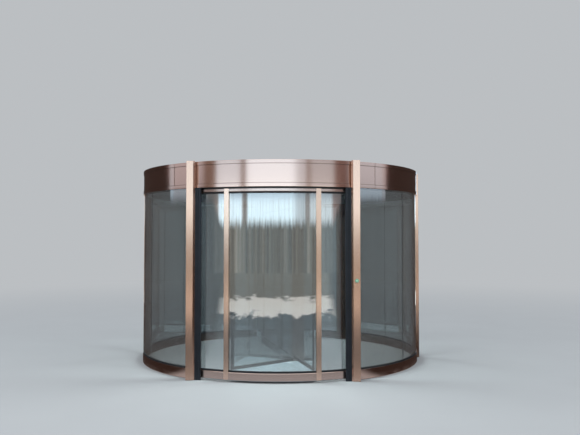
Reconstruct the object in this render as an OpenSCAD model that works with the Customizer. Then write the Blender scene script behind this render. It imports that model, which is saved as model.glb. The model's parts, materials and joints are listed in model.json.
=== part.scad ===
// Two wing revolving door: a round drum with a rotor that carries two showcases
// and a pair of sliding leaves. Millimetres, +Z up, -Y to the outside, +X to the
// right seen from outside. The origin is on the drum axis at floor level.

/* [Drum] */
// Outside diameter of the fascia
drum_d = 3800; // [3400:20:4400]
// Clear height from the floor to the underside of the fascia
clear_h = 2240; // [2100:10:2500]
// Height of the fascia
fascia_h = 310; // [220:10:420]
// Height of the trim bands at the head and foot of the fascia
trim_h = 44; // [20:2:70]
// How far the trim bands stand proud of the fascia
trim_proud = 5; // [2:1:10]
// Thickness of the fascia skin
skin_t = 4; // [3:1:8]
// Gap of the seam in each side fascia
seam_w = 5; // [3:1:10]
// Angle of the fascia seam from the middle of the opening
seam_angle = 39.6; // [37:0.2:60]
// Running gap between the rotor and the fixed walls
rotor_gap = 10; // [7:1:16]

/* [Portal posts] */
// Clear width between the two safety edges of an opening
opening_w = 1686; // [1400:2:1800]
// Width of a safety edge
edge_w = 70; // [40:2:90]
// Radius of the nose of a safety edge
edge_nose_r = 14; // [6:1:20]
// Width and depth of the two grooves in the face of a safety edge
edge_groove_w = 5; // [3:1:8]
// Width of the chamfer on a post
chamfer_w = 22; // [8:1:30]
// Width of the front face of a post
post_w = 80; // [60:2:120]
// How far a post stands out in front of the fascia, at its outer side
post_proud = 104; // [60:2:140]
// Height of the posts above the top of the fascia
post_over = 6; // [0:1:20]

/* [Wall posts] */
// Width of a wall post, measured outwards from the drum
wall_post_w = 73; // [50:1:120]
// Depth of a wall post through the facade
wall_post_d = 120; // [80:5:200]

/* [Fixed walls] */
// Height of the curved plinth
plinth_h = 118; // [80:2:200]
// Thickness of the plinth
plinth_t = 31; // [24:1:50]
// Thickness of the laminated glass
glass_t = 12; // [8:1:16]
// Height of the glazing seals
seal_h = 20; // [10:1:30]
// Thickness of rubber beside the glass
seal_side = 5; // [3:1:8]
// Depth of the glass in a seal
glass_bite = 16; // [6:1:24]
// Width of the upright joint between two panes
joint_w = 9; // [6:1:16]
// How far the bead of the upright joint stands proud of the glass
joint_bead = 0.5; // [0.2:0.1:1]
// Angle of the upright joint from the middle of the opening
joint_angle = 57.5; // [50:0.5:65]

/* [Rotor arcs] */
// Gap between the foot rail and the floor
foot_gap = 25; // [15:1:40]
// Height of the foot rail
foot_rail_h = 87; // [60:1:120]
// Height of the head rail below the rotor ceiling
head_rail_h = 37; // [25:1:80]
// Thickness of the rails and stiles of the arcs
rail_t = 50; // [36:2:70]
// Angle of the mullions from the middle of the arc
mullion_angle = 16.8; // [14:0.2:19]
// Width of a mullion
mullion_w = 60; // [40:2:80]
// How far an arc laps behind the safety edges of its opening
arc_lap = 64; // [44:2:80]
// Width of the stile at each end of an arc
end_stile_w = 40; // [24:2:42]
// Chamfer along the edges of the foot and head rails
rail_chamfer = 4; // [2:1:8]
// Joint between the head rails and the rotor ceiling
rail_seat = 0.3; // [0.2:0.1:0.9]
// Gap between the brush strips and the floor
brush_gap = 6; // [5:1:10]
// Thickness of a brush strip
brush_t = 16; // [8:1:24]
// Gap between the edge of a pane and its stile
pane_gap = 0.4; // [0.3:0.1:0.9]

/* [Rotor ceiling] */
// Thickness of the rotor ceiling
ceiling_t = 40; // [30:2:60]
// Gap between the rotor ceiling underside and the fascia underside
ceiling_drop = 16; // [10:1:30]
// Radius of the spindle
spindle_r = 32; // [25:1:36]
// Radial running clearance of the spindle in its housing
spindle_clear = 0.08; // [0.02:0.01:0.1]

/* [Showcases] */
// Distance from the drum axis to the apex post
apex_s = 1098; // [1000:2:1150]
// Length of the apex post along the wing
apex_l = 70; // [50:2:90]
// Width of the apex post across the wing
apex_w = 92; // [60:2:110]
// Gap between the apex post and a sliding leaf
apex_gap = 12; // [8:1:20]
// Thickness of the showcase wall rails
wall_rail_t = 30; // [24:1:40]
// Width of the dark seal where a showcase wall meets the arc
wall_end_w = 20; // [12:1:30]

/* [Sliding leaves] */
// Thickness of a leaf
leaf_t = 46; // [36:2:60]
// Width of the stiles of a leaf
leaf_stile_w = 96; // [60:2:130]
// Height of the foot rail of a leaf
leaf_foot_h = 100; // [60:2:140]
// Height of the head rail of a leaf
leaf_head_h = 70; // [40:2:120]
// Width and depth of the glazing rebate round the pane of a leaf
leaf_rebate_w = 12; // [6:1:20]
leaf_rebate_t = 6; // [3:1:10]
// Gap between the two leaves when they are shut
leaf_meet_gap = 6; // [5:1:12]
// How far a leaf slides
leaf_travel = 600; // [400:10:620]
// Height of the track over the leaves
track_h = 100; // [80:2:140]
// Width of the track
track_w = 64; // [52:2:80]
// Wall thickness of the track
track_t = 5; // [4:1:8]
// Running gap of the hangers on the track
hanger_gap = 0.3; // [0.2:0.1:1]

/* [Canopy] */
// Height of the bridge beam
beam_h = 130; // [100:5:160]
// Width of the bridge beam
beam_w = 116; // [112:2:118]
// Wall thickness of the bridge beam
beam_t = 8; // [5:1:12]
// Wall thickness of the bearing housing
housing_t = 14; // [10:1:16]
// Thickness of the roof cover
roof_t = 5; // [4:1:12]
// Thickness of the sealing tape under the roof cover
roof_seat = 0.4; // [0.3:0.1:0.9]
// Width of the flange at the top of the fascia
top_flange_w = 60; // [40:5:100]

/* [Button] */
// Diameter of the push button
button_d = 44; // [30:1:60]
// Height of the push button above the floor
button_z = 1158; // [800:10:1300]

/* [Hidden] */
$fn = 96;

bronze = [0.74, 0.58, 0.47];
bronze_dark = [0.45, 0.32, 0.27];
rubber = [0.10, 0.11, 0.13];
pane = [0.62, 0.76, 0.78, 0.45];
pale = [0.86, 0.93, 0.95];
steel = [0.62, 0.63, 0.65];

// Heights
drum_r = drum_d / 2;
top_z = clear_h + fascia_h;
post_top = top_z + post_over;
ceiling_z = clear_h - ceiling_drop;
head_z = ceiling_z - head_rail_h;
foot_z = foot_gap + foot_rail_h;
cut_h = post_top + 200;

// Fixed wall radii: the rotor, its gap, then plinth, glass and fascia
face_r = drum_r - 7;
wall_in_r = face_r - plinth_t;
rotor_r = wall_in_r - rotor_gap;
glass_in_r = wall_in_r + (plinth_t - glass_t) / 2;
glass_out_r = glass_in_r + glass_t;

// Portal post section, for the opening towards -Y and the post towards +X
edge_x = opening_w / 2;
step_x = edge_x + edge_w;
face_x = step_x + chamfer_w;
outer_x = face_x + post_w;
post_front_y = sqrt(pow(drum_r, 2) - pow(outer_x, 2)) + post_proud;
edge_front_y = post_front_y - chamfer_w + 2;

// Wall posts stand just outside the rotor
wall_post_in = wall_in_r;
wall_post_out = wall_post_in + wall_post_w;
wall_half_d = wall_post_d / 2;

// Rotor arc radii
arc_out_r = rotor_r;
arc_in_r = arc_out_r - rail_t;
arc_glass_in_r = (arc_out_r + arc_in_r - glass_t) / 2;
arc_glass_out_r = arc_glass_in_r + glass_t;
mullion_half = asin(mullion_w / 2 / arc_out_r);
arc_end_angle = asin((edge_x + arc_lap) / arc_out_r);
end_stile_a = 2 * asin(end_stile_w / 2 / arc_out_r);

// Showcase walls, in wing coordinates: u along the wing, v across it
leaf_side = leaf_t / 2;
wall_v = -(leaf_side + apex_gap + wall_rail_t / 2);
apex_near_v = -(leaf_side + apex_gap);
apex_far_v = apex_near_v - apex_w;
leaf_l = apex_s + apex_l - leaf_meet_gap / 2;
track_z = ceiling_z - track_h;
leaf_top = track_z - 8;
leaf_foot = foot_gap - 7;
track_end = arc_in_r - 4;

// Hangers with four rollers that run in the track, and their stops
hanger_l = 80;
hanger_h = 20;
hanger_w = 14;
hanger_neck_w = 8;
hanger_slot_w = hanger_neck_w + 10;
roller_r = 13;
roller_w = 9;
roller_gap = 5;
axle_r = 4;
stop_l = 20;

// Canopy
beam_z = ceiling_z + ceiling_t + 46;
beam_top = beam_z + beam_h;
housing_r = spindle_r + housing_t;
flange_r = housing_r + 10;
flange_t = 12;
collar_r = spindle_r + 18;
collar_h = 24;
hub_r = spindle_r + 50;
hub_h = 20;

// A ring segment centred on -Y, between two angles measured towards +X
module arc_ring(r1, r2, z1, z2, a1, a2) {
    translate([0, 0, z1])
        rotate([0, 0, a1 - 90])
            rotate_extrude(angle = a2 - a1, $fn = 180)
                translate([r1, 0])
                    square([r2 - r1, z2 - z1]);
}

// Keeps what lies in front of the wall posts and outside the portal posts
module quarter_limits() {
    translate([outer_x, -drum_r - 100, -1])
        cube([drum_r, drum_r + 100 - wall_half_d, cut_h]);
}

// Places a front right piece in its quarter: sx and sy are the signs of its place
module quarter(sx, sy) {
    mirror([sx < 0 ? 1 : 0, 0, 0])
        mirror([0, sy > 0 ? 1 : 0, 0])
            children();
}

// Both halves of a rotor piece that repeats after half a turn
module both_halves() {
    children();
    rotate([0, 0, 180])
        children();
}

// Places wing coordinates: u runs along the wing to the front, v to its right side
module on_wing() {
    rotate([0, 0, mullion_angle - 90])
        children();
}

// Portal post, trimmed at the back for the rotor
module post_solid() {
    difference() {
        linear_extrude(post_top)
            polygon([
                [step_x, -post_front_y + chamfer_w],
                [face_x, -post_front_y],
                [outer_x, -post_front_y],
                [outer_x, -wall_in_r * cos(asin(outer_x / wall_in_r)) + 40],
                [step_x, -wall_in_r * cos(asin(outer_x / wall_in_r)) + 40]
            ]);
        translate([0, 0, -1])
            cylinder(r = wall_in_r + 2, h = cut_h, $fn = 180);
    }
}

module post(sx, sy) {
    color(bronze)
        quarter(sx, sy)
            post_solid();
}

// Safety edge: a rubber profile with a round nose on the side of the opening
module safety_edge() {
    difference() {
        linear_extrude(clear_h)
            union() {
                translate([edge_x + edge_nose_r, -edge_front_y])
                    square([edge_w - edge_nose_r, edge_w]);
                translate([edge_x, -edge_front_y + edge_nose_r])
                    square([edge_w, edge_w - edge_nose_r]);
                translate([edge_x + edge_nose_r, -edge_front_y + edge_nose_r])
                    circle(r = edge_nose_r, $fn = 32);
            }
        for (share = [1, 2])
            translate([edge_x + edge_nose_r + share * (edge_w - edge_nose_r) / 3, -edge_front_y, -1])
                rotate([0, 0, 45])
                    translate([-edge_groove_w / 2, -edge_groove_w / 2, 0])
                        cube([edge_groove_w, edge_groove_w, cut_h]);
        translate([0, 0, -1])
            cylinder(r = wall_in_r + 2, h = cut_h, $fn = 180);
    }
}

module safety_edges(sy) {
    color(rubber)
        for (sx = [-1, 1])
            quarter(sx, sy)
                safety_edge();
}

module wall_post(sx) {
    color(bronze)
        translate([sx > 0 ? wall_post_in : -wall_post_out, -wall_half_d, 0])
            cube([wall_post_w, wall_post_d, top_z]);
}

module plinth(sx, sy) {
    color(bronze)
        quarter(sx, sy)
            intersection() {
                arc_ring(wall_in_r, face_r, 0, plinth_h, 20, 90);
                quarter_limits();
            }
}

// Two panes of a quarter, held apart by the upright joint
module glass(sx, sy) {
    half = joint_w / 2 / glass_out_r * 180 / PI;
    foot = plinth_h + seal_h - glass_bite;
    color(pane)
        quarter(sx, sy)
            intersection() {
                union() {
                    arc_ring(glass_in_r, glass_out_r, foot, clear_h, 20, joint_angle - half);
                    arc_ring(glass_in_r, glass_out_r, foot, clear_h, joint_angle + half, 90);
                }
                quarter_limits();
            }
}

// Seal of one quarter: a channel along the plinth with the upright joint on it
module glazing_seal() {
    half = joint_w / 2 / glass_out_r * 180 / PI;
    foot = plinth_h + seal_h - glass_bite;
    intersection() {
        union() {
            difference() {
                arc_ring(glass_in_r - seal_side, glass_out_r + seal_side, plinth_h, plinth_h + seal_h, 20, 90);
                arc_ring(glass_in_r, glass_out_r, foot, clear_h, 15, joint_angle - half);
                arc_ring(glass_in_r, glass_out_r, foot, clear_h, joint_angle + half, 95);
            }
            arc_ring(
                glass_in_r - joint_bead, glass_out_r + joint_bead, plinth_h + seal_h, clear_h,
                joint_angle - half, joint_angle + half
            );
        }
        quarter_limits();
    }
}

module glazing_seals() {
    color(rubber)
        for (sx = [-1, 1])
            for (sy = [-1, 1])
                quarter(sx, sy)
                    glazing_seal();
}

// Folded fascia: a skin with trim bands and a flange inwards at the head and the foot
module fascia_profile() {
    band_r = drum_r - trim_proud;
    polygon([
        [wall_in_r, clear_h], [drum_r, clear_h],
        [drum_r, clear_h + trim_h], [band_r, clear_h + trim_h],
        [band_r, top_z - trim_h], [drum_r, top_z - trim_h],
        [drum_r, top_z], [drum_r - top_flange_w, top_z],
        [drum_r - top_flange_w, top_z - skin_t], [drum_r - skin_t, top_z - skin_t],
        [drum_r - skin_t, top_z - trim_h + skin_t], [band_r - skin_t, top_z - trim_h + skin_t],
        [band_r - skin_t, clear_h + trim_h - skin_t], [drum_r - skin_t, clear_h + trim_h - skin_t],
        [drum_r - skin_t, clear_h + skin_t], [wall_in_r, clear_h + skin_t]
    ]);
}

module fascia_ring(a1, a2) {
    rotate([0, 0, a1 - 90])
        rotate_extrude(angle = a2 - a1, $fn = 180)
            fascia_profile();
}

module fascia_middle(sy) {
    color(bronze)
        quarter(1, sy)
            intersection() {
                fascia_ring(-45, 45);
                translate([-step_x, -drum_r - 100, -1])
                    cube([2 * step_x, drum_r, cut_h]);
            }
}

// Side fascia, with the seam as a shallow groove across the band
module fascia_side(sx, sy) {
    seam_half = seam_w / 2 / drum_r * 180 / PI;
    color(bronze)
        quarter(sx, sy)
            difference() {
                intersection() {
                    fascia_ring(20, 90);
                    quarter_limits();
                }
                arc_ring(
                    drum_r - trim_proud - skin_t / 2, drum_r + 1, clear_h - 1, top_z + 1,
                    seam_angle - seam_half, seam_angle + seam_half
                );
            }
}

module roof_cover() {
    color(bronze_dark)
        translate([0, 0, top_z + roof_seat])
            cylinder(r = wall_in_r, h = roof_t, $fn = 180);
}

// Box beam between the wall posts, bored for the bearing housing
module bridge_beam() {
    color(steel)
        difference() {
            translate([-wall_post_in, -beam_w / 2, beam_z])
                cube([2 * wall_post_in, beam_w, beam_h]);
            for (sx = [-1, 1])
                translate([sx > 0 ? flange_r : -wall_post_in - 1, -beam_w / 2 + beam_t, beam_z + beam_t])
                    cube([wall_post_in + 1 - flange_r, beam_w - 2 * beam_t, beam_h - 2 * beam_t]);
            translate([0, 0, beam_z - 1])
                cylinder(r = housing_r, h = beam_h + 2);
        }
}

// Flanged housing that sits in the bore of the beam
module bearing_housing() {
    color(steel)
        rotate_extrude()
            polygon([
                [spindle_r + spindle_clear, beam_z], [housing_r, beam_z],
                [housing_r, beam_top], [flange_r, beam_top],
                [flange_r, beam_top + flange_t], [spindle_r + spindle_clear, beam_top + flange_t]
            ]);
}

// Push button on the face of the right hand front post
module push_button() {
    color([0.25, 0.62, 0.45])
        translate([(face_x + outer_x) / 2, -post_front_y, button_z])
            rotate([90, 0, 0])
                rotate_extrude()
                    polygon([
                        [0, 0], [button_d / 2, 0], [button_d / 2, 4], [button_d / 2 - 3, 7],
                        [button_d / 2 - 8, 7], [button_d / 2 - 8, 11], [button_d / 2 - 11, 13], [0, 13]
                    ]);
}

// Round ceiling of the rotor with its spindle and the collar that hangs on the housing
module rotor_ceiling() {
    collar_z = beam_top + flange_t + hanger_gap;
    color(pale)
        rotate_extrude($fn = 180)
            polygon([
                [0, ceiling_z], [arc_out_r, ceiling_z], [arc_out_r, ceiling_z + ceiling_t],
                [hub_r, ceiling_z + ceiling_t], [hub_r, ceiling_z + ceiling_t + hub_h],
                [spindle_r, ceiling_z + ceiling_t + hub_h], [spindle_r, collar_z],
                [collar_r, collar_z], [collar_r, collar_z + collar_h], [0, collar_z + collar_h]
            ]);
}

// Angles of the bays of an arc: left ear, middle, right ear
function bays() = [
    [-arc_end_angle + end_stile_a, -mullion_angle - mullion_half],
    [-mullion_angle + mullion_half, mullion_angle - mullion_half],
    [mullion_angle + mullion_half, arc_end_angle - end_stile_a]
];

module bay_rings(r1, r2, z1, z2, gap = 0) {
    gap_a = gap / r1 * 180 / PI;
    for (bay = bays())
        arc_ring(r1, r2, z1, z2, bay[0] + gap_a, bay[1] - gap_a);
}

// Rails of the three bays of an arc, chamfered along all four edges
module bay_rails(z1, z2) {
    c = rail_chamfer;
    for (bay = bays())
        rotate([0, 0, bay[0] - 90])
            rotate_extrude(angle = bay[1] - bay[0], $fn = 180)
                polygon([
                    [arc_in_r + c, z1], [arc_out_r - c, z1], [arc_out_r, z1 + c], [arc_out_r, z2 - c],
                    [arc_out_r - c, z2], [arc_in_r + c, z2], [arc_in_r, z2 - c], [arc_in_r, z1 + c]
                ]);
}

module arc_foot_rails() {
    color(bronze)
        both_halves()
            bay_rails(foot_gap, foot_z);
}

module arc_head_rails() {
    color(bronze)
        both_halves()
            bay_rails(head_z, ceiling_z - rail_seat);
}

// Two mullions and the two end stiles of an arc
module arc_stiles() {
    for (side = [-1, 1])
        arc_ring(
            arc_in_r, arc_out_r, foot_gap, ceiling_z,
            side * mullion_angle - mullion_half, side * mullion_angle + mullion_half
        );
    arc_ring(
        arc_in_r, arc_out_r, foot_gap, ceiling_z,
        -arc_end_angle, -arc_end_angle + end_stile_a
    );
    arc_ring(
        arc_in_r, arc_out_r, foot_gap, ceiling_z,
        arc_end_angle - end_stile_a, arc_end_angle
    );
}

module arc_stiles_front() {
    color(bronze)
        arc_stiles();
}

module arc_stiles_rear() {
    color(bronze)
        rotate([0, 0, 180])
            arc_stiles();
}

module arc_glass() {
    bay_rings(
        arc_glass_in_r, arc_glass_out_r,
        foot_z + seal_h - glass_bite, head_z - seal_h + glass_bite, pane_gap
    );
}

module arc_glass_front() {
    color(pane)
        arc_glass();
}

module arc_glass_rear() {
    color(pane)
        rotate([0, 0, 180])
            arc_glass();
}

// Channels of rubber along the rails of the arcs
module arc_seals() {
    color(rubber)
        both_halves()
            difference() {
                union() {
                    bay_rings(arc_glass_in_r - seal_side, arc_glass_out_r + seal_side, foot_z, foot_z + seal_h);
                    bay_rings(arc_glass_in_r - seal_side, arc_glass_out_r + seal_side, head_z - seal_h, head_z);
                }
                arc_ring(
                    arc_glass_in_r, arc_glass_out_r, foot_z + seal_h - glass_bite,
                    head_z - seal_h + glass_bite, -45, 45
                );
            }
}

module brush_strips() {
    mid_r = (arc_in_r + arc_out_r) / 2;
    color(rubber)
        both_halves()
            arc_ring(
                mid_r - brush_t / 2, mid_r + brush_t / 2, brush_gap, foot_gap,
                -arc_end_angle, arc_end_angle
            );
}

// Corners of the front showcase on its wall lines, in wing coordinates [u, v]
seat_r = arc_in_r;
side_end = [sqrt(pow(seat_r, 2) - pow(wall_v, 2)), wall_v];
far_angle = 2 * mullion_angle - mullion_half - asin(wall_end_w / seat_r);
far_end = [seat_r * cos(far_angle), -seat_r * sin(far_angle)];
apex_end = [apex_s + apex_l / 2, apex_far_v + wall_rail_t / 2];

// Length and direction of the oblique wall, from the apex post to the arc
oblique_l = norm(far_end - apex_end);
oblique_a = atan2(far_end[1] - apex_end[1], far_end[0] - apex_end[0]);

// A strip along the wall beside the leaf
module side_strip(t, z1, z2) {
    translate([apex_s + apex_l, wall_v - t / 2, z1])
        cube([drum_r, t, z2 - z1]);
}

// A strip along the oblique wall
module oblique_strip(t, z1, z2) {
    translate([apex_end[0], apex_end[1], z1])
        rotate([0, 0, oblique_a])
            translate([0, -t / 2, 0])
                cube([drum_r, t, z2 - z1]);
}

// Section of the apex post
module apex_section() {
    translate([apex_s, apex_far_v])
        square([apex_l, apex_w]);
}

// Keeps what lies inside the arc and off the apex post
module showcase_limits(z1, z2) {
    difference() {
        translate([0, 0, z1])
            cylinder(r = arc_in_r, h = z2 - z1, $fn = 180);
        translate([0, 0, z1 - 1])
            linear_extrude(z2 - z1 + 2)
                apex_section();
    }
}

// Raised floor between the two walls and the arc
module showcase_floor() {
    intersection() {
        translate([0, 0, foot_gap])
            linear_extrude(foot_z + seal_h - foot_gap)
                polygon([
                    [apex_s + apex_l, wall_v + wall_rail_t / 2],
                    [drum_r, wall_v + wall_rail_t / 2],
                    apex_end + drum_r * [cos(oblique_a), sin(oblique_a)]
                        + wall_rail_t / 2 * [sin(oblique_a), -cos(oblique_a)],
                    apex_end + wall_rail_t / 2 * [sin(oblique_a), -cos(oblique_a)],
                    [apex_s + apex_l, apex_end[1]]
                ]);
        showcase_limits(foot_gap, foot_z + seal_h);
    }
}

module showcase_floors() {
    color(pale)
        both_halves()
            on_wing()
                showcase_floor();
}

// The two glass walls of a showcase
module showcase_glass() {
    z1 = foot_z + 2 * seal_h - glass_bite;
    z2 = ceiling_z - seal_h + glass_bite;
    intersection() {
        union() {
            side_strip(glass_t, z1, z2);
            oblique_strip(glass_t, z1, z2);
        }
        difference() {
            showcase_limits(0, ceiling_z);
            wall_end_space();
        }
    }
}

// The space of the dark end seals beside the mullions
module wall_end_space() {
    difference() {
        cylinder(r = drum_r, h = ceiling_z, $fn = 180);
        translate([0, 0, -1])
            cylinder(r = arc_in_r - wall_end_w, h = ceiling_z + 2, $fn = 180);
    }
}

module showcase_glass_front() {
    color(pane)
        on_wing()
            showcase_glass();
}

module showcase_glass_rear() {
    color(pane)
        rotate([0, 0, 180])
            on_wing()
                showcase_glass();
}

// Rubber along the feet, heads and ends of the showcase walls
module showcase_seal(strip) {
    z1 = foot_z + seal_h;
    z2 = ceiling_z;
    t = glass_t + 2 * seal_side;
    intersection() {
        difference() {
            if (strip == "side") side_strip(t, z1, z2);
            else oblique_strip(t, z1, z2);
            difference() {
                if (strip == "side") side_strip(t + 2, z1 + seal_h, z2 - seal_h);
                else oblique_strip(t + 2, z1 + seal_h, z2 - seal_h);
                wall_end_space();
            }
            difference() {
                if (strip == "side") side_strip(glass_t, z1 + seal_h - glass_bite, z2 - seal_h + glass_bite);
                else oblique_strip(glass_t, z1 + seal_h - glass_bite, z2 - seal_h + glass_bite);
                wall_end_space();
            }
        }
        showcase_limits(0, ceiling_z);
    }
}

module showcase_seals() {
    color(rubber)
        both_halves()
            on_wing() {
                showcase_seal("side");
                showcase_seal("oblique");
            }
}

// Track over the leaves: a slotted box between the two arcs, with stops for the hangers
module leaf_track() {
    inner_w = track_w - 2 * track_t;
    stop_u = hanger_u(1) + hanger_l / 2 + leaf_travel + 5;
    difference() {
        translate([-track_end, -track_w / 2, track_z])
            cube([2 * track_end, track_w, track_h]);
        translate([-track_end - 1, -inner_w / 2, track_z + track_t])
            cube([2 * track_end + 2, inner_w, track_h - 3 * track_t]);
        translate([-track_end - 1, -hanger_slot_w / 2, track_z - 1])
            cube([2 * track_end + 2, hanger_slot_w, track_t + 2]);
    }
    for (side = [-1, 1])
        translate([side > 0 ? stop_u : -stop_u - stop_l, -inner_w / 2, track_z + track_t])
            cube([stop_l, inner_w, track_h - 3 * track_t]);
}

// Apex posts and track make one welded frame
module wing_portal() {
    color(bronze)
        on_wing()
            union() {
                leaf_track();
                both_halves()
                    translate([0, 0, foot_gap])
                        linear_extrude(ceiling_z - foot_gap)
                            apex_section();
            }
}

// Places of the two hangers of a leaf along the wing
function hanger_u(k) = leaf_meet_gap / 2 + leaf_stile_w * 1.5 + k * (leaf_l - leaf_stile_w * 3);

// Two pairs of rollers with their axles, on the flanges of the track
module rollers(head) {
    reach = hanger_w / 2 + roller_gap + roller_w;
    for (end = [-1, 1])
        translate([end * (hanger_l / 2 - roller_r), 0, head + roller_r])
            rotate([90, 0, 0]) {
                translate([0, 0, -reach])
                    cylinder(r = axle_r, h = 2 * reach, $fn = 32);
                for (side = [-1, 1])
                    translate([0, 0, side > 0 ? reach - roller_w : -reach])
                        cylinder(r = roller_r, h = roller_w, $fn = 48);
            }
}

// Frame of the front leaf: rebated stiles and rails, and two hangers in the track
module leaf_frame() {
    start = leaf_meet_gap / 2;
    head = track_z + track_t + hanger_gap;
    pane_l = leaf_l - 2 * leaf_stile_w;
    pane_foot = leaf_foot + leaf_foot_h;
    pane_h = leaf_top - leaf_head_h - pane_foot;
    difference() {
        translate([start, -leaf_side, leaf_foot])
            cube([leaf_l, leaf_t, leaf_top - leaf_foot]);
        translate([start + leaf_stile_w, -leaf_side - 1, pane_foot])
            cube([pane_l, leaf_t + 2, pane_h]);
        for (face = [-leaf_side - 1, leaf_side - leaf_rebate_t])
            translate([start + leaf_stile_w - leaf_rebate_w, face, pane_foot - leaf_rebate_w])
                cube([pane_l + 2 * leaf_rebate_w, leaf_rebate_t + 1, pane_h + 2 * leaf_rebate_w]);
    }
    for (k = [0, 1])
        translate([hanger_u(k), 0, 0]) {
            translate([-hanger_l / 2 + 10, -hanger_neck_w / 2, leaf_top])
                cube([hanger_l - 20, hanger_neck_w, head + roller_r - leaf_top]);
            translate([-hanger_l / 2, -hanger_w / 2, head + roller_r - hanger_h / 2])
                cube([hanger_l, hanger_w, hanger_h]);
            rollers(head);
        }
}

module leaf_glass() {
    start = leaf_meet_gap / 2;
    translate([start + leaf_stile_w, -glass_t / 2, leaf_foot + leaf_foot_h])
        cube([leaf_l - 2 * leaf_stile_w, glass_t, leaf_top - leaf_head_h - leaf_foot - leaf_foot_h]);
}

module leaf_front_frame() {
    color(bronze)
        on_wing()
            leaf_frame();
}

module leaf_front_glass() {
    color(pane)
        on_wing()
            leaf_glass();
}

module leaf_rear_frame() {
    color(bronze)
        rotate([0, 0, 180])
            on_wing()
                leaf_frame();
}

module leaf_rear_glass() {
    color(pane)
        rotate([0, 0, 180])
            on_wing()
                leaf_glass();
}

post(-1, -1);  // post_front_left
post(1, -1);  // post_front_right
post(-1, 1);  // post_rear_left
post(1, 1);  // post_rear_right
safety_edges(-1);  // safety_edges_front
safety_edges(1);  // safety_edges_rear
wall_post(-1);  // wall_post_left
wall_post(1);  // wall_post_right
plinth(-1, -1);  // plinth_front_left
plinth(1, -1);  // plinth_front_right
plinth(-1, 1);  // plinth_rear_left
plinth(1, 1);  // plinth_rear_right
glass(-1, -1);  // glass_front_left
glass(1, -1);  // glass_front_right
glass(-1, 1);  // glass_rear_left
glass(1, 1);  // glass_rear_right
glazing_seals();
fascia_middle(-1);  // fascia_front
fascia_middle(1);  // fascia_rear
fascia_side(-1, -1);  // fascia_front_left
fascia_side(1, -1);  // fascia_front_right
fascia_side(-1, 1);  // fascia_rear_left
fascia_side(1, 1);  // fascia_rear_right
roof_cover();
bridge_beam();
bearing_housing();
push_button();
rotor_ceiling();
arc_foot_rails();
arc_head_rails();
arc_stiles_front();
arc_stiles_rear();
arc_glass_front();
arc_glass_rear();
arc_seals();
showcase_floors();
showcase_glass_front();
showcase_glass_rear();
showcase_seals();
wing_portal();
brush_strips();
leaf_front_frame();
leaf_front_glass();
leaf_rear_frame();
leaf_rear_glass();
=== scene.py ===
"""Looks of a two-wing revolving door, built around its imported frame.

The frame brings the drum, the rotor and the pair of sliding leaves at their real size. This script gives
each of those pieces its finish, adds the fittings that are too fine for the frame, and sets the camera, the
pale studio floor and the soft light. Lengths are metres unless a name ends in _mm, and angles are radians
unless a name ends in _deg.
"""

import json
import logging
import math
import random
from dataclasses import dataclass, field
from enum import Enum
from typing import Any, Iterable, Sequence

import bpy
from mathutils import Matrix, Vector


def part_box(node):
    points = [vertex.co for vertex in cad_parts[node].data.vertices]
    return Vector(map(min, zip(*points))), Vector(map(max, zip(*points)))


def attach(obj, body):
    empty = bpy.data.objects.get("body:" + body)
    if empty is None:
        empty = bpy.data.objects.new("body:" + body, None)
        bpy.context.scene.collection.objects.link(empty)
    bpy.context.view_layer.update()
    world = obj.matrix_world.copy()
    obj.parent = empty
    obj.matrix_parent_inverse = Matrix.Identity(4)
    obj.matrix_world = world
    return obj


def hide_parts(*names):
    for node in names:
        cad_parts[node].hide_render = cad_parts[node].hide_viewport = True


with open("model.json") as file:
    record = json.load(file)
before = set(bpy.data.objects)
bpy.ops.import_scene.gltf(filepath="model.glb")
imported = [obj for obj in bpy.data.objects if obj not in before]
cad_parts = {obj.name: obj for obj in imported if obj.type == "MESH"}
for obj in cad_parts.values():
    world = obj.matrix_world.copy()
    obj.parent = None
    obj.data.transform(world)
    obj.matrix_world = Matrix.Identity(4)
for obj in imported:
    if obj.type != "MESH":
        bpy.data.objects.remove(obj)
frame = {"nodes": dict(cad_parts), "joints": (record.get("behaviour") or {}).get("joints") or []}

LOG = logging.getLogger("revolving_door")
MM = 0.001
UP = Vector((0.0, 0.0, 1.0))

Colour = tuple[float, float, float]
Face = tuple[int, ...]
Point = tuple[float, float, float]
Span = tuple[float, float]


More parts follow.
